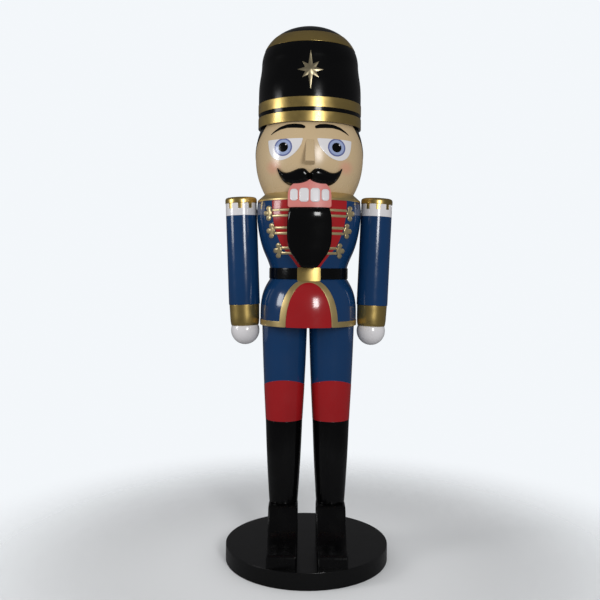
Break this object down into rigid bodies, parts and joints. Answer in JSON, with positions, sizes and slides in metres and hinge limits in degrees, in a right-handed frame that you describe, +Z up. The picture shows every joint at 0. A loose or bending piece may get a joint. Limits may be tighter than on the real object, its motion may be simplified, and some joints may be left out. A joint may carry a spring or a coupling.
{
  "type": "nutcracker figure",
  "caption": "Life-size painted wooden soldier nutcracker on a round plinth, with a lever-worked jaw and swinging arms.",
  "frame": {"origin": "centre of the plinth's underside", "axes": "+Z up through the hat, -Y the way the face looks, +X the figure's left"},
  "size_m": [0.5804, 0.556, 1.829],
  "materials": {
    "black_lacquer": "high-gloss black lacquer",
    "blue_lacquer": "gloss blue lacquer",
    "red_lacquer": "gloss red lacquer",
    "gold_paint": "metallic gold lacquer",
    "skin_paint": "gloss skin-tone lacquer",
    "white_paint": "gloss white lacquer",
    "gum_paint": "gloss pink lacquer",
    "bare_wood": "sealed bare wood",
    "steel": "zinc-plated steel"
  },
  "bodies": {
    "figure": {"plinth": "black_lacquer", "hip_board": "bare_wood", "skirt": "blue_lacquer", "skirt_trim": "gold_paint", "apron_panel": "red_lacquer", "waist_board": "bare_wood", "belt": "black_lacquer", "buckle": "gold_paint", "torso": "blue_lacquer", "collar": "gold_paint", "neck_board": "bare_wood", "front_panel": "red_lacquer", "braid_bars": "gold_paint", "braid_trefoils": "gold_paint", "pivot_pin": "steel", "pivot_spacers": "steel", "mouth_block": "gum_paint", "teeth": "white_paint", "head": "skin_paint", "head_board": "bare_wood", "nose": "skin_paint", "moustache": "black_lacquer", "eyes": "white_paint", "hair": "black_lacquer", "hat": "black_lacquer", "hat_bands": "gold_paint", "hat_crown_band": "gold_paint", "hat_star": "gold_paint", "hat_seat": "bare_wood", "hat_dowels": "bare_wood", "shoulder_bushes": "steel", "tie_rods": "steel", "spine_rods": "steel", "rod_nuts": "steel", "rod_washers": "steel", "left_shoe": "black_lacquer", "left_boot_shaft": "black_lacquer", "left_leg": "blue_lacquer", "right_shoe": "black_lacquer", "right_boot_shaft": "black_lacquer", "right_leg": "blue_lacquer"},
    "jaw": {"beard": "black_lacquer", "jaw_block": "gum_paint", "beard_screws": "steel", "jaw_lever": "black_lacquer"},
    "left_arm": {"left_arm_sleeve": "blue_lacquer", "left_arm_band": "white_paint", "left_shoulder_cap": "gold_paint", "left_cuff": "gold_paint", "left_hand": "white_paint", "left_shoulder_bolt": "steel", "left_shoulder_nut": "steel"},
    "right_arm": {"right_arm_sleeve": "blue_lacquer", "right_arm_band": "white_paint", "right_shoulder_cap": "gold_paint", "right_cuff": "gold_paint", "right_hand": "white_paint", "right_shoulder_bolt": "steel", "right_shoulder_nut": "steel"}
  },
  "joints": [
    {"name": "jaw_lever_pivot", "type": "hinge", "parent": "figure", "child": "jaw", "pos_m": [0, -0.01, 1.1], "axis": [1, 0, 0], "range_deg": [0, 12]},
    {"name": "left_shoulder", "type": "hinge", "parent": "figure", "child": "left_arm", "pos_m": [0.18, 0, 1.195], "axis": [1, 0, 0], "range_deg": [-90, 30]},
    {"name": "right_shoulder", "type": "hinge", "parent": "figure", "child": "right_arm", "pos_m": [-0.18, 0, 1.195], "axis": [1, 0, 0], "range_deg": [-90, 30]}
  ]
}
